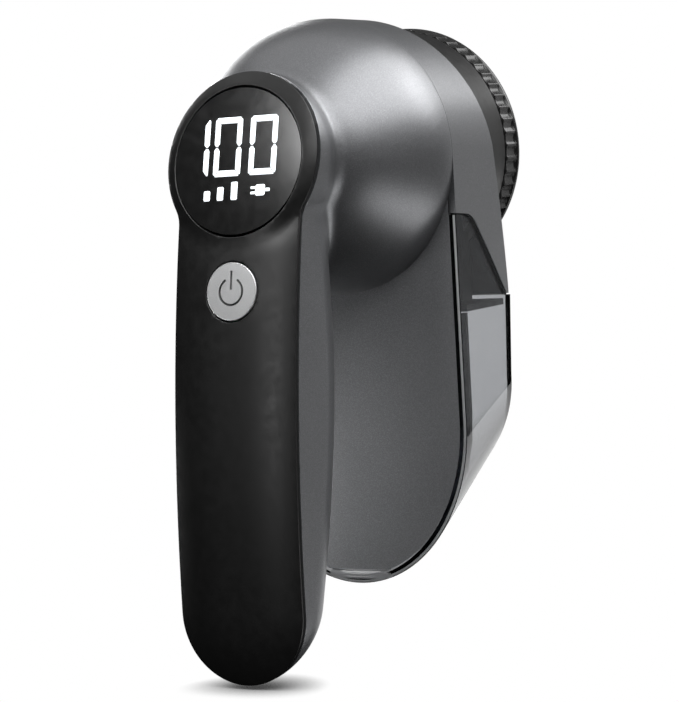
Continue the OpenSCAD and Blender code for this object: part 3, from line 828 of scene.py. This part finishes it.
def build_ring():
    """Twist ring: rounded front lip, a band of shallow flutes and a shadow gap behind."""
    flutes, samples = 60, 16
    steps = flutes * samples
    # Height across one pitch: a narrow ridge, then a shallow hollow for the fingers
    across_pitch = np.minimum(np.linspace(-1, 1, samples, endpoint=False) ** 2 * 1.3, 1)
    across_ring = FLUTE * np.tile(across_pitch, flutes)
    inner = [(RING_BORE_R, RING_BACK_Y), (RING_BORE_R, 1.2), (FOIL_R + 0.12, 1.1), (FOIL_R + 0.12, 0.28),
             (FOIL_R + 0.35, 0.06), (FOIL_R + 0.7, 0)]
    lip = [(RING_R - 0.6, 0), (RING_R, 0.16), (RING_R + 0.3, 0.5), (RING_R + 0.43, 1.0), (RING_R + 0.43, 1.8)]
    fluted = [(RING_R - 0.25, 1.95), (RING_R - 0.2, 2.15), (RING_R - 0.2, 4.6), (RING_R - 0.2, 7.0),
              (RING_R - 0.27, 7.15)]
    gap = [(RING_R - 0.6, 7.2), (RING_R - 0.6, RING_BACK_Y - 0.05)]
    angles = np.linspace(0, TURN, steps, endpoint=False)
    verts = []
    for r, y in inner + lip + fluted + gap:
        radius = r + across_ring * ((r, y) in fluted)
        verts += list(zip(radius * np.cos(angles), np.full(steps, y), radius * np.sin(angles)))
    last = len(verts) - steps
    closing = [(last + c, last + (c + 1) % steps, (c + 1) % steps, c) for c in range(steps)]
    ring = put("twist_ring_body", verts, grid_faces(len(verts) // steps, steps, wrap=True) + closing,
               "twist_ring", rib_black, "foil_ring")
    ease(ring, 0.06, 35, 1)


build_ring()


def foil_holes():
    """Two rings of round holes near the edge, then a honeycomb field whose holes change size outwards."""
    holes = []
    count = 36
    for i in range(count):
        for radius, size, steps, turn in ((25.1, 1.25, 28, 0), (21.8, 1.1, 26, 0.5)):
            a = TURN * (i + turn) / count
            holes.append(circle(radius * math.cos(a), radius * math.sin(a), size, steps))
    # How far out each size of hole reaches: (reach, hole radius, steps round the hole)
    bands = [(0.1, 0.3, 14), (4.0, 0.5, 18), (17.3, 0.95, 24), (19.4, 0.55, 18)]
    pitch = 3.1
    row_step = pitch * math.sin(math.pi / 3)
    for j in range(-7, 8):
        for i in range(-8, 9):
            x, z = pitch * (i + 0.5 * (j % 2)), row_step * j
            fitting = [band for band in bands if math.hypot(x, z) < band[0]]
            if fitting:
                holes.append(circle(x, z, *fitting[0][1:]))
    return holes


def build_foil():
    """Perforated steel face with its rolled edge."""
    steps = 240
    roll = 0.9
    flat_r = FOIL_R - 1.0
    flat, faces = filled(circle(0, 0, flat_r, steps), foil_holes())
    edge = [(flat_r, FOIL_Y)]
    edge += [(flat_r + roll * math.sin(a), FOIL_Y + roll * (1 - math.cos(a)))
             for a in np.linspace(0, math.pi / 2, 7)[1:]]
    edge += [(FOIL_R - 0.1, 1.0), (FOIL_R + 0.7, 1.05)]
    points, quads = turned(edge, steps)
    verts = [(x, FOIL_Y, z) for x, z in flat] + [(x, y, z) for x, z, y in points]
    faces += [tuple(len(flat) + i for i in f) for f in quads]
    foil = put("perforated_foil", verts, faces, "twist_ring", foil_steel, "foil",
               centre=(0, 20, 0))
    thicken(foil, 0.25)
    crisp = foil.modifiers.new("crisp", "EDGE_SPLIT")
    crisp.split_angle = math.radians(35)


build_foil()


# ------------------------------------------------------------------ lint bin

BIN_SIDE_STEPS = 24
BIN_ARC_STEPS = 64
BIN_COLUMNS = 2 * BIN_SIDE_STEPS + BIN_ARC_STEPS - 2


def bin_loop(y):
    """Outside of the bin at depth y, from its right edge round the bottom to its left edge."""
    _, half, drop, centre = section(y)
    edge = float(np.interp(y, EDGE_Y, EDGE_Z)) - BIN_GAP
    side = [(side_x(y, z), z) for z in np.linspace(edge, centre, BIN_SIDE_STEPS)]
    bottom = arc(0, centre, half, 0, -math.pi, BIN_ARC_STEPS, drop)[1:-1]
    return side + bottom + [(-x, z) for x, z in reversed(side)]


def build_bin_shell():
    """See-through lint bin: flat front wall and a U of sides and bottom, open at the top and the back."""
    depths = [FRONT_Y, 11.6, 12.4, 13.3] + list(np.linspace(13.3, 31.5, 14)[1:]) + EDGE_Y[3:]
    verts = [(x, y, z) for y in depths for x, z in bin_loop(y)]
    flat, triangles = filled(bin_loop(FRONT_Y))
    faces = grid_faces(len(depths), BIN_COLUMNS) + [tuple(len(verts) + i for i in f) for f in triangles]
    verts += [(x, FRONT_Y, z) for x, z in flat]
    shell = put("lint_bin_shell", verts, faces, "lint_bin", smoky, "bin_shell",
                centre=(0, 30, -45))
    thicken(shell, BIN_WALL)
    ease(shell, 0.5, 40, 3)


def build_bin_rim():
    """The bin's rear edge, a rough light-coloured strip: a painted highlight for the light that the clear
    wall carries.
    """
    near, far = 0.35, 0.95
    sunk, proud = HEAD_DEPTH - 0.2, HEAD_DEPTH + 0.04
    rim = np.array(bin_loop(EDGE_Y[-1]))
    along = np.gradient(rim, axis=0)
    inward = np.stack([along[:, 1], -along[:, 0]], axis=1) / np.hypot(*along.T)[:, None]
    inward *= -np.sign(np.sum(inward * rim * [1, 0]))
    strip = [(x, y, z) for inset, y in ((near, sunk), (near, proud), (far, proud), (far, sunk))
             for x, z in rim + inward * inset]
    last = 3 * BIN_COLUMNS
    closing = [(last + c, last + c + 1, c + 1, c) for c in range(BIN_COLUMNS - 1)]
    ends = [tuple(row * BIN_COLUMNS + c for row in range(4)) for c in (0, BIN_COLUMNS - 1)]
    put("bin_rim", strip, grid_faces(4, BIN_COLUMNS) + closing + ends, "lint_bin", frosted_highlight,
        smooth=False)


def build_bin_tab():
    """Finger tab at the foot of the bin's rear edge; its light colour is a painted highlight."""
    half = 9.0
    depths = (41.6, HEAD_DEPTH)
    heights = (1.5 - BIN_DROP, BIN_WALL + 1.2 - BIN_DROP)
    corners = [(x, y, z) for x in (-half, half) for y in depths for z in heights]
    box = [(0, 1, 3, 2), (4, 6, 7, 5), (0, 4, 5, 1), (2, 3, 7, 6), (0, 2, 6, 4), (1, 5, 7, 3)]
    tab = put("bin_tab", corners, box, "lint_bin", frosted_highlight)
    ease(tab, 0.3, 40, 3)


build_bin_shell()
build_bin_rim()
build_bin_tab()


# ------------------------------------------------------------------ rear plate of the handle

LENS_HOLE_R = 18.58
LENS_R = 18.5
BUTTON_HOLE_R = 7.5
BUTTON_R = 7.3
# How far the plate's face falls away at its edge
CROWN = 1.8


def smooth_step(t):
    """From 0 to 1 with a soft start and end."""
    t = np.clip(t, 0, 1)
    return t * t * (3 - 2 * t)


def plate_points(flat):
    """Rear face of the plate: follows the handle's curve, crowned towards every edge."""
    x, z = flat.T
    radial = np.hypot(x, z - PAD_Z)
    head = CROWN * np.maximum((radial - LENS_HOLE_R) / (HEAD_PAD_R - LENS_HOLE_R), 0) ** 1.5
    across = np.where(z < FOOT_CENTRE_Z, np.hypot(x, z - FOOT_CENTRE_Z), np.abs(x))
    lower = CROWN * (np.minimum(across, HANDLE_HALF) / HANDLE_HALF) ** 3
    drop = mix(np.minimum(head, CROWN), lower, smooth_step((-8.0 - z) / 14.0))
    # Round the lens and the button the face is the flat that each of them sits on
    lens_face = lens_frame.centre[1] - math.tan(LENS_TILT) * (z - LENS_Z)
    y = mix(lens_face, back_y(z), smooth_step((radial - LENS_HOLE_R - 0.2) / 2.2))
    button_face = button_frame.centre[1] - math.tan(BUTTON_TILT) * (z - BUTTON_Z)
    near_button = np.clip((np.hypot(x, z - BUTTON_Z) - BUTTON_HOLE_R - 0.1) / 2.0, 0, 1)
    return np.stack([x, mix(button_face, y - drop, near_button), z], axis=1)


def build_plate():
    """Long black plate with a round hole for the lens and one for the button."""
    holes = [circle(0, LENS_Z, LENS_HOLE_R, 128), circle(0, BUTTON_Z, BUTTON_HOLE_R, 72)]
    flat, faces = filled(handle_loop(), holes, spacing=1.6)
    plate = put("rear_plate", plate_points(flat), faces, "body", satin_black, "handle_plate",
                centre=(0, 40, -40))
    thicken(plate, PLATE_T - 0.5)
    ease(plate, 0.2, 50, 3)


build_plate()


# ------------------------------------------------------------------ display lens and its lit figures

def stand(name, frame_at, flat, faces, low, high, body, material, stands_for=None):
    """Slab on a tilted frame; x is mirrored so that the shape reads from behind."""
    slab, skin = prism([(-x, y) for x, y in flat], [tuple(reversed(f)) for f in faces], low, high)
    return put(name, frame_at.points(slab), skin, body, material, stands_for, merge=True)


def build_lens():
    """Black window: a disc with a fine chamfer."""
    depth, chamfer = 1.4, 0.06
    profile = [(0.0, -depth), (LENS_R, -depth), (LENS_R, -chamfer), (LENS_R - chamfer, 0.0), (0.0, 0.0)]
    local, faces = turned(profile, 160)
    lens = put("display_window", lens_frame.points(local), faces, "body", lens_black,
               "display_lens")
    shade = lens.modifiers.new("shade", "WEIGHTED_NORMAL")
    shade.keep_sharp = True


build_lens()


FIGURE_LOW, FIGURE_HIGH = -0.3, 0.03
STROKE = 1.52
DIGIT_TALL = 14.9
DIGIT_WIDE = 8.0
DIGIT_MIDDLE = 3.65
SEAM = 0.15


def mirrored(loop, across=True):
    """The loop flipped left to right, or else top to bottom."""
    return [(-x, y) if across else (x, -y) for x, y in loop]


def digit(centre_x, segments):
    """Loops of a seven-segment digit with mitred ends, its segments named by position."""
    w, h, s, c = DIGIT_WIDE / 2, DIGIT_TALL / 2, STROKE, 0.45
    top = [(-w + c, h - 0.12), (-w + c + 0.3, h), (w - c - 0.3, h), (w - c, h - 0.12),
           (w - s - SEAM, h - s), (-w + s + SEAM, h - s)]
    right = [(w, h - c - 0.3), (w - 0.16, h - c), (w - 0.42, h - 0.34), (w - s, h - s - SEAM),
             (w - s, s / 2 + SEAM), (w - s / 2 - 0.2, SEAM), (w - s / 2 + 0.3, SEAM), (w, s / 2)]
    shapes = {"top": top, "bottom": mirrored(top, False), "upper_right": right,
              "lower_right": mirrored(right, False), "upper_left": mirrored(right),
              "lower_left": mirrored(mirrored(right, False))}
    return [[(x + centre_x, y + DIGIT_MIDDLE) for x, y in shapes[name]] for name in segments]


def rounded_box(x0, y0, x1, y1, r):
    """Loop of a box with round corners."""
    corners = ((x1 - r, y1 - r, 0), (x0 + r, y1 - r, 90), (x0 + r, y0 + r, 180), (x1 - r, y0 + r, 270))
    return [p for cx, cy, turn in corners
            for p in arc(cx, cy, r, math.radians(turn), math.radians(turn + 90), 5)]


def build_figures():
    """Charge level in digits, three power bars and a plug sign, as the viewer behind sees them."""
    sides = ["upper_right", "lower_right", "upper_left", "lower_left"]
    loops = digit(-12.55, sides[:2])
    for x in (-3.03, 7.33):
        loops += digit(x, ["top", "bottom", *sides])
    bar_half, bar_foot = 0.93, -9.8
    for x, tall in ((-8.42, 2.55), (-4.49, 3.4), (-0.42, 4.55)):
        loops.append(rounded_box(x - bar_half, bar_foot, x + bar_half, bar_foot + tall, 0.35))
    # Plug: a body, two pins on its left and a lead on its right
    plug_y = -7.64
    loops.append(rounded_box(5.8, plug_y - 1.4, 8.6, plug_y + 1.4, 0.55))
    for rise in (-0.66, 0.66):
        loops.append(rounded_box(4.4, plug_y + rise - 0.32, 5.75, plug_y + rise + 0.32, 0.15))
    loops.append(rounded_box(8.65, plug_y - 0.4, 10.0, plug_y + 0.4, 0.2))
    for number, loop in enumerate(loops):
        flat, faces = filled(loop)
        stand("figure_%02d" % number, lens_frame, flat, faces, FIGURE_LOW, FIGURE_HIGH, "body",
              figure_light)


build_figures()


# ------------------------------------------------------------------ power button

def build_button():
    """Silver cap with the power sign pierced through, over a black disc of painted shade for the sign's
    recess, on its switch stem.
    """
    stroke, sign_r, opening = 0.58, 3.3, math.radians(30)
    sign = [(r * math.sin(a), r * math.cos(a))
            for r, start, end in ((sign_r + stroke / 2, opening, TURN - opening),
                                  (sign_r - stroke / 2, TURN - opening, opening))
            for a in np.linspace(start, end, 60)]
    bar = [(-stroke / 2, 0.5), (stroke / 2, 0.5), (stroke / 2, 5.2), (-stroke / 2, 5.2)]
    cap_r, cap_low, cap_high = BUTTON_R - 0.35, -0.5, 0.3
    flat, faces = filled(circle(0, 0, cap_r, 96), [sign, bar])
    cap = stand("button_face", button_frame, flat, faces, cap_low, cap_high, "button", button_silver,
                "power_button")
    ease(cap, 0.08, 50)
    side = [(cap_r, cap_low), (cap_r, cap_high), (BUTTON_R, -0.05), (BUTTON_R - 0.6, -3.6)]
    local, faces = turned(side, 96)
    put("button_skirt", button_frame.points(local), faces, "button", button_silver,
        centre=button_frame.centre)
    # Black disc under the pierced sign: painted shade in the sign's recess
    flat, faces = filled(circle(0, 0, BUTTON_R - 0.6, 64))
    stand("button_inlay", button_frame, flat, faces, -0.9, 0.02, "button", matte_black)


build_button()


# ------------------------------------------------------------------ floor, lights and camera

AIM = (0, 0.04, -0.02)
# name: place, point it faces, width, power, height
LIGHTS = {
    "key": ((-0.85, -0.06, 0.95), AIM, 2.2, 29, 1.15),
    "front_key": ((-0.62, -0.88, 0.66), AIM, 0.9, 4.8, 0.6),
    "rear_key": ((-0.55, 0.85, 0.62), AIM, 0.5, 1.9, 0.45),
    "overhead": ((0.35, 0.1, 1.3), AIM, 1.6, 4.5, 1.6),
    "plate_strip": ((0.3, 1.15, 0.16), (0, 0.09, -0.07), 0.2, 1.1, 0.4),
    "lens_card": ((0.031, 0.191, 0.066), (0, 0.095, 0), 0.035, 0.1, 0.035),
    "bounce": ((-0.66, -0.14, -0.52), AIM, 1.1, 1.9, 0.3),
    "gap_card": ((0.08, 0.075, -0.09), (-0.02, 0.04, -0.09), 0.05, 0.06, 0.05),
    "side_strip": ((-0.62, -1.05, -0.05), (0, 0.07, -0.08), 0.16, 0.35, 0.8),
    "front_card": ((0.1, -1.4, -0.15), (0, 0, -0.03), 1.0, 2.6, 1.0),
    "foil_side": ((0.95, -0.75, 0.2), (0, 0, 0), 0.7, 9, 0.7),
}


def area_light(name, place, aim, wide, power, tall):
    """Rectangular soft light that isn't seen itself, neither straight nor through the bin."""
    data = bpy.data.lights.new(name, "AREA")
    data.shape = "RECTANGLE"
    data.size = wide
    data.size_y = tall
    data.energy = power
    lamp = add(name, data)
    lamp.location = Vector(place)
    lamp.rotation_euler = (Vector(aim) - Vector(place)).to_track_quat("-Z", "Y").to_euler()
    lamp.visible_camera = False
    lamp.visible_transmission = False
    return lamp


def spare(lamp, piece_name):
    """Leaves one piece out of a lamp's light, and so out of its reflection."""
    spared = bpy.data.collections.new(lamp.name + "_spares")
    spared.objects.link(bpy.data.objects[piece_name])
    lamp.light_linking.receiver_collection = spared
    spared.collection_objects[0].light_linking.link_state = "EXCLUDE"


def build_world():
    """White behind the object, and a dim studio that brightens overhead around it."""
    world = bpy.data.worlds.new("studio")
    world.use_nodes = True
    g = Graph(world.node_tree)
    direction = g.node("ShaderNodeTexCoord").outputs["Generated"]
    height = g.node("ShaderNodeSeparateXYZ", Vector=direction).outputs["Z"]
    ray = g.node("ShaderNodeLightPath").outputs
    # Seen through the clear bin, the table below it is darker
    table = g.levels(height, 0.35, 1.0, -0.17, -0.115)
    white = g.tree.nodes["Background"]
    g.feed(white.inputs["Color"], (1, 1, 1, 1))
    g.feed(white.inputs["Strength"], g.maths("MAXIMUM", ray["Is Camera Ray"], table))
    studio = g.node("ShaderNodeBackground", Strength=g.levels(height, 0.015, 0.26, 0.1, 1.0))
    seen = g.maths("MAXIMUM", ray["Is Camera Ray"], ray["Is Transmission Ray"])
    choose = g.node("ShaderNodeMixShader", Fac=seen)
    g.feed(choose.inputs[1], studio.outputs["Background"])
    g.feed(choose.inputs[2], white.outputs["Background"])
    g.feed(g.tree.nodes["World Output"].inputs["Surface"], choose.outputs["Shader"])
    bpy.context.scene.world = world


def build_floor():
    """Pale floor, see-through and as white as the backdrop, so that only the contact shadow shows."""
    radius, clearance = 40.0, 1.0
    middle_y = float(back_y(HANDLE_FOOT_Z)) - 8.0
    mesh = bpy.data.meshes.new("floor")
    rim = [((x, y, HANDLE_FOOT_Z - clearance) + SHIFT) * MM for x, y in circle(0, middle_y, radius, 64)]
    mesh.from_pydata(rim, [], [tuple(range(len(rim)))])
    floor = add("floor", mesh)
    floor.visible_shadow = False
    floor.visible_glossy = False
    floor.visible_diffuse = False
    dark = Nodes("floor_shadow")
    contact = dark.node("ShaderNodeAmbientOcclusion", Distance=10 * MM)
    contact.samples = 12
    dark.set(Base_Color=(0, 0, 0, 1), Specular_IOR_Level=0.0,
             Alpha=dark.levels(contact.outputs["AO"], 0.95, 0.0, 0.25, 0.95))
    mesh.materials.append(dark.material)


def build_camera():
    """Long lens from behind and a little above, aimed past the middle of the object."""
    azimuth, elevation, roll = math.radians(210.28), math.radians(4.33), math.radians(-3.88)
    target, distance = np.array([0, 20.0, -50.0]) + SHIFT, 721.7
    back = np.array([math.sin(azimuth) * math.cos(elevation), -math.cos(azimuth) * math.cos(elevation),
                     math.sin(elevation)])
    right = np.array([math.cos(azimuth), math.sin(azimuth), 0])
    up = np.cross(back, right)
    c, s = math.cos(roll), math.sin(roll)
    axes = (c * right + s * up, c * up - s * right, back, (target + back * distance) * MM)
    data = bpy.data.cameras.new("camera")
    data.sensor_width = 36.0
    data.lens = 137.26
    data.shift_x = -0.0695
    data.shift_y = -0.0164
    camera = add("camera", data)
    camera.matrix_world = Matrix([[axis[k] for axis in axes] for k in range(3)] + [[0, 0, 0, 1]])
    bpy.context.scene.camera = camera


bpy.context.scene.view_settings.view_transform = "Standard"
build_world()
build_floor()
lamps = {name: area_light(name, *settings) for name, settings in LIGHTS.items()}
# Its reflection in the side of the bin would look like a hole
spare(lamps["gap_card"], "lint_bin_shell")
build_camera()
